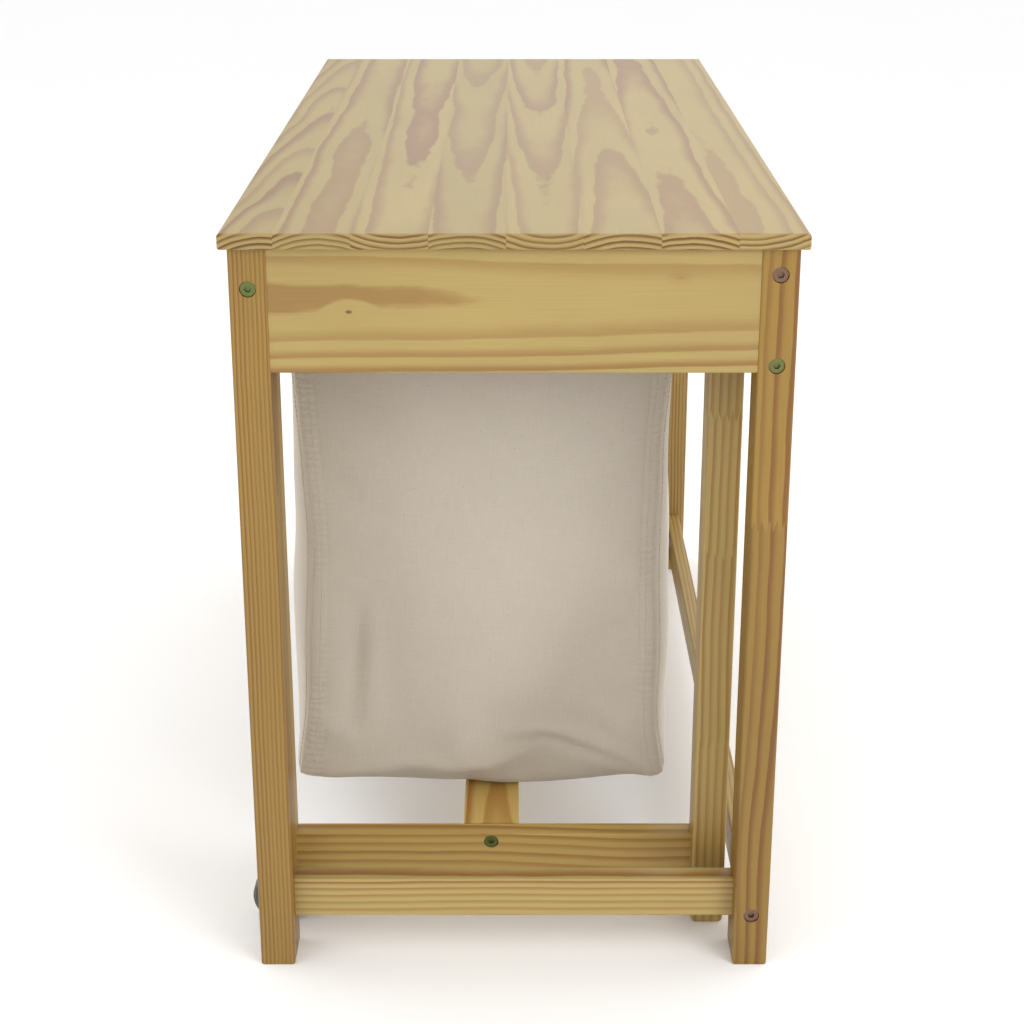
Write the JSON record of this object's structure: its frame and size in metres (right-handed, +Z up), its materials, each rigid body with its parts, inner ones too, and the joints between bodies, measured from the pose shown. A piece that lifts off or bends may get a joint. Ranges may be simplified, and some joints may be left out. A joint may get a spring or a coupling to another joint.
{
  "type": "laundry table with roll-out sorter cart",
  "caption": "Pine work table with a laundry sorter cart parked under it; the cart carries canvas bags on rods and rolls out at the open side.",
  "frame": {"origin": "on the floor, under the middle of the whole object", "axes": "+Z up, +Y along the table towards its left end, -X towards the open front where the cart rolls out"},
  "size_m": [0.5295, 1.05, 0.75],
  "materials": {
    "top_pine": "clear satin lacquer",
    "leg_pine": "clear satin lacquer",
    "rail_pine": "clear satin lacquer",
    "rod_wood": "sanded",
    "dowel_wood": "fluted beech",
    "canvas": "plain-woven cotton canvas",
    "bolt_zinc": "yellow passivated zinc",
    "steel": "bright zinc",
    "tyre": "moulded grey rubber",
    "hub": "moulded"
  },
  "bodies": {
    "table": {"top_stave_1": "top_pine", "top_stave_2": "top_pine", "top_stave_3": "top_pine", "top_stave_4": "top_pine", "top_stave_5": "top_pine", "top_stave_6": "top_pine", "top_stave_7": "top_pine", "top_stave_8": "top_pine", "top_dowels": "dowel_wood", "table_leg_front_right": "leg_pine", "table_leg_back_right": "leg_pine", "table_leg_front_left": "leg_pine", "table_leg_back_left": "leg_pine", "end_apron_right": "rail_pine", "end_apron_left": "rail_pine", "front_top_rail": "rail_pine", "back_apron": "rail_pine", "back_low_rail": "rail_pine", "end_low_rail_right": "rail_pine", "end_low_rail_left": "rail_pine", "frame_dowels": "dowel_wood", "frame_bolts": "bolt_zinc", "frame_barrel_nuts": "steel"},
    "cart": {"cart_leg_front_right": "leg_pine", "cart_leg_back_right": "leg_pine", "cart_leg_front_left": "leg_pine", "cart_leg_back_left": "leg_pine", "cart_low_rail_right": "rail_pine", "cart_low_rail_left": "rail_pine", "cart_top_rail_right": "rail_pine", "cart_top_rail_left": "rail_pine", "cart_front_rail": "rail_pine", "cart_back_rail": "rail_pine", "centre_board": "rail_pine", "board_screws": "bolt_zinc", "cart_dowels": "dowel_wood", "cart_bolts": "bolt_zinc", "cart_barrel_nuts": "steel", "bag_rod_1": "rod_wood", "bag_rod_2": "rod_wood", "bag_rod_3": "rod_wood", "bag_rod_4": "rod_wood", "bag_rod_5": "rod_wood", "bag_rod_6": "rod_wood", "bag_right": "canvas", "bag_middle": "canvas", "bag_left": "canvas", "axle_bolts": "steel", "axle_washers": "steel", "axle_nuts": "steel"},
    "wheel_right": {"wheel_right_tyre": "tyre", "wheel_right_hub": "hub"},
    "wheel_left": {"wheel_left_tyre": "tyre", "wheel_left_hub": "hub"}
  },
  "joints": [
    {"name": "cart_roll_out", "type": "slide", "parent": "table", "child": "cart", "axis": [-1, 0, 0], "range_m": [-0.004, 0.55]},
    {"name": "wheel_right_spin", "type": "hinge", "parent": "cart", "child": "wheel_right", "pos_m": [-0.23675, -0.432, 0.028], "axis": [0, 1, 0], "continuous": true},
    {"name": "wheel_left_spin", "type": "hinge", "parent": "cart", "child": "wheel_left", "pos_m": [0.20475, 0.432, 0.028], "axis": [0, 1, 0], "continuous": true}
  ]
}
